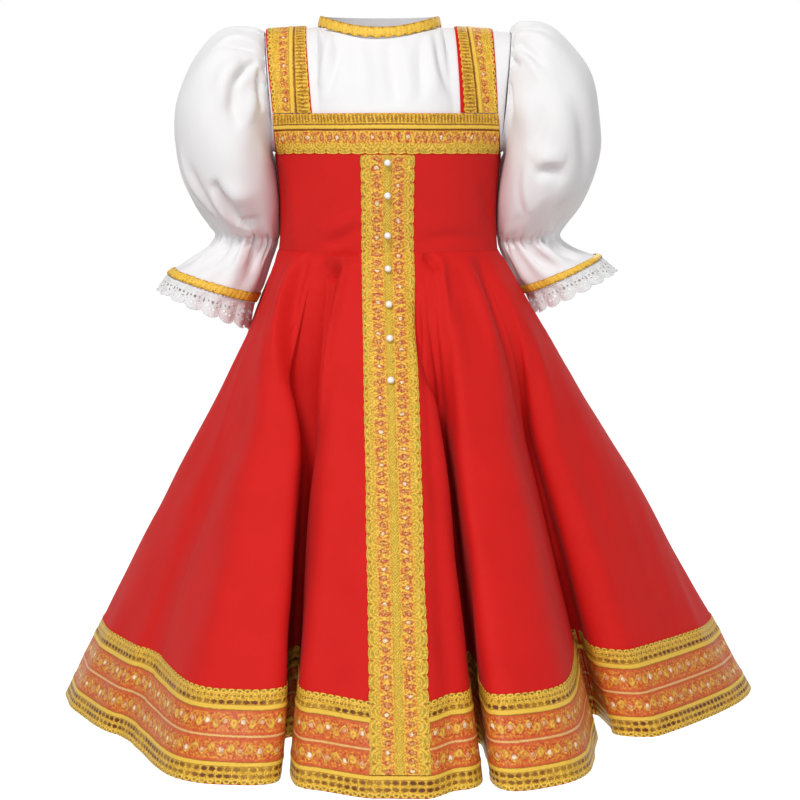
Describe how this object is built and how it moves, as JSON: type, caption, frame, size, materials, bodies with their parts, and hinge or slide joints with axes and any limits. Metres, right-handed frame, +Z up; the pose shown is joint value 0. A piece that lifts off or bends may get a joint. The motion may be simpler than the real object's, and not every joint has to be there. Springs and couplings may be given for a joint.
{
  "type": "folk sarafan dress",
  "caption": "Child's flared red folk sarafan with gold braid trims over a white blouse with puff sleeves and lace cuffs, filled out as if worn.",
  "frame": {"origin": "middle of the shoulder line, level with the tops of the straps, where the wearer's shoulders hold the dress", "axes": "+Z up, -Y out of the front, +X to the viewer's right; the width is along X"},
  "size_m": [0.7752, 0.737, 0.7516],
  "materials": {
    "white_cotton": "matte plain weave",
    "white_lace": "matte cotton lace",
    "red_cloth": "smooth gabardine, soft sheen",
    "gold_braid": "woven metallic braid",
    "jacquard_ribbon": "woven metallic jacquard",
    "pearl": "pearl"
  },
  "bodies": {
    "root": {"blouse_front": "white_cotton", "blouse_back": "white_cotton", "sleeve_left": "white_cotton", "sleeve_right": "white_cotton", "cuff_lace_left_front": "white_lace", "cuff_lace_left_back": "white_lace", "cuff_lace_right_front": "white_lace", "cuff_lace_right_back": "white_lace", "bodice_front": "red_cloth", "bodice_back": "red_cloth", "strap_left": "red_cloth", "strap_right": "red_cloth", "skirt_front_left": "red_cloth", "skirt_front_right": "red_cloth", "skirt_back_left": "red_cloth", "skirt_back_right": "red_cloth", "neck_braid": "gold_braid", "cuff_braid_left": "gold_braid", "cuff_braid_right": "gold_braid", "chest_braid": "gold_braid", "hem_braid_upper": "gold_braid", "hem_braid_lower": "gold_braid", "center_band": "jacquard_ribbon", "chest_band": "jacquard_ribbon", "strap_braid_left": "jacquard_ribbon", "strap_braid_right": "jacquard_ribbon", "hem_ribbon": "jacquard_ribbon", "pearl_1": "pearl", "pearl_2": "pearl", "pearl_3": "pearl", "pearl_4": "pearl", "pearl_5": "pearl", "pearl_6": "pearl", "pearl_7": "pearl"}
  },
  "joints": []
}
